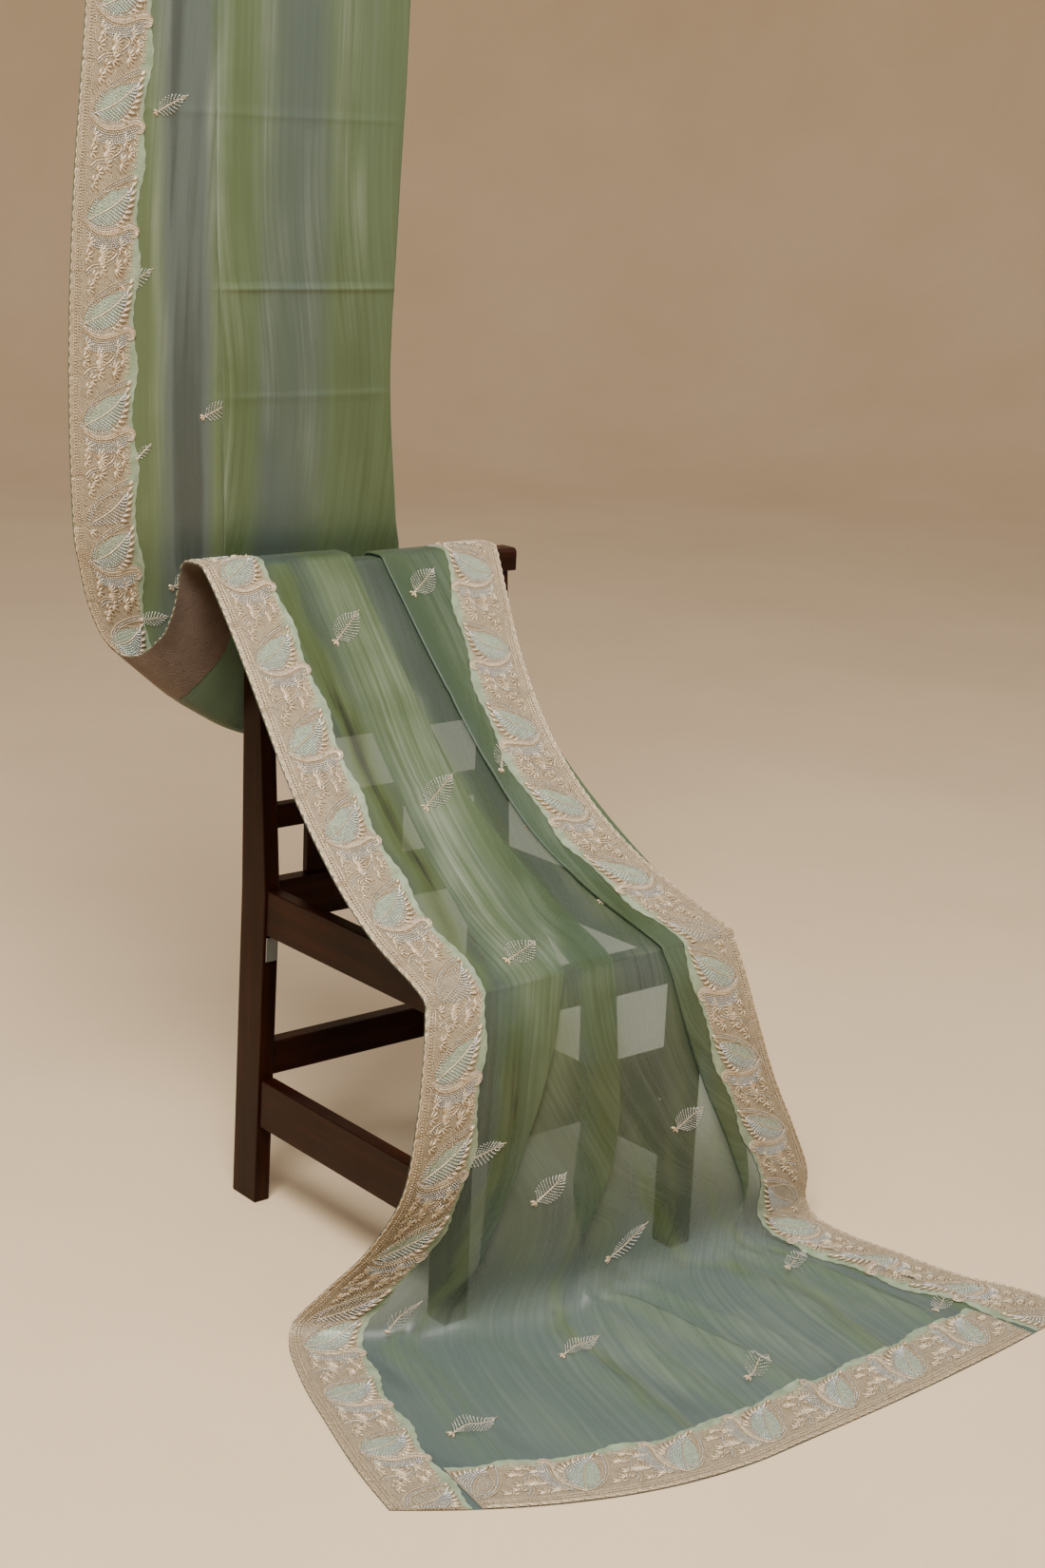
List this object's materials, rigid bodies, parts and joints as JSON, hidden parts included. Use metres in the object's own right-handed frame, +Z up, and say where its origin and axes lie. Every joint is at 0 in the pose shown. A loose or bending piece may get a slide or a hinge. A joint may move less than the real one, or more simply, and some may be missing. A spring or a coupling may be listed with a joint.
{
  "type": "saree draped over a chair",
  "caption": "Sheer embroidered saree hung from a rod, looped behind an open-seat wooden chair, draped over its back and seat and spread on the floor.",
  "frame": {"origin": "middle of the whole part's footprint, on the floor", "axes": "+X to the right when facing the chair's front, +Y from the chair's front to its back, +Z up"},
  "size_m": [1.001, 1.1162, 1.9368],
  "materials": {
    "sheer_cloth": "sheer sage organza with a soft sheen",
    "border": "mint strip covered in silver and gold embroidery",
    "wood": "dark red-brown satin lacquer",
    "steel": "satin"
  },
  "bodies": {
    "root": {"floor_spread": "sheer_cloth", "front_fall": "sheer_cloth", "chair_drape": "sheer_cloth", "back_loop": "sheer_cloth", "upper_fall": "sheer_cloth", "rod_turn": "sheer_cloth", "folded_rest": "sheer_cloth", "end_border": "border", "border_left_floor_spread": "border", "border_left_front_fall": "border", "border_left_chair_drape": "border", "border_left_back_loop": "border", "border_left_upper_fall": "border", "border_left_rod_turn": "border", "border_right_floor_spread": "border", "border_right_front_fall": "border", "border_right_chair_drape": "border", "border_right_back_loop": "border", "border_right_upper_fall": "border", "border_right_rod_turn": "border", "rear_post_left": "wood", "rear_post_right": "wood", "front_leg_left": "wood", "front_leg_right": "wood", "seat_rail_left": "wood", "seat_rail_right": "wood", "lower_rail_left": "wood", "lower_rail_right": "wood", "back_panel": "wood", "mid_rail": "wood", "back_seat_rail": "wood", "back_lower_rail": "wood", "front_seat_rail": "wood", "front_lower_rail": "wood", "top_rail": "wood", "back_slat_1": "wood", "back_slat_2": "wood", "back_slat_3": "wood", "bracket_left": "steel", "bracket_right": "steel", "rod": "wood"}
  },
  "joints": []
}
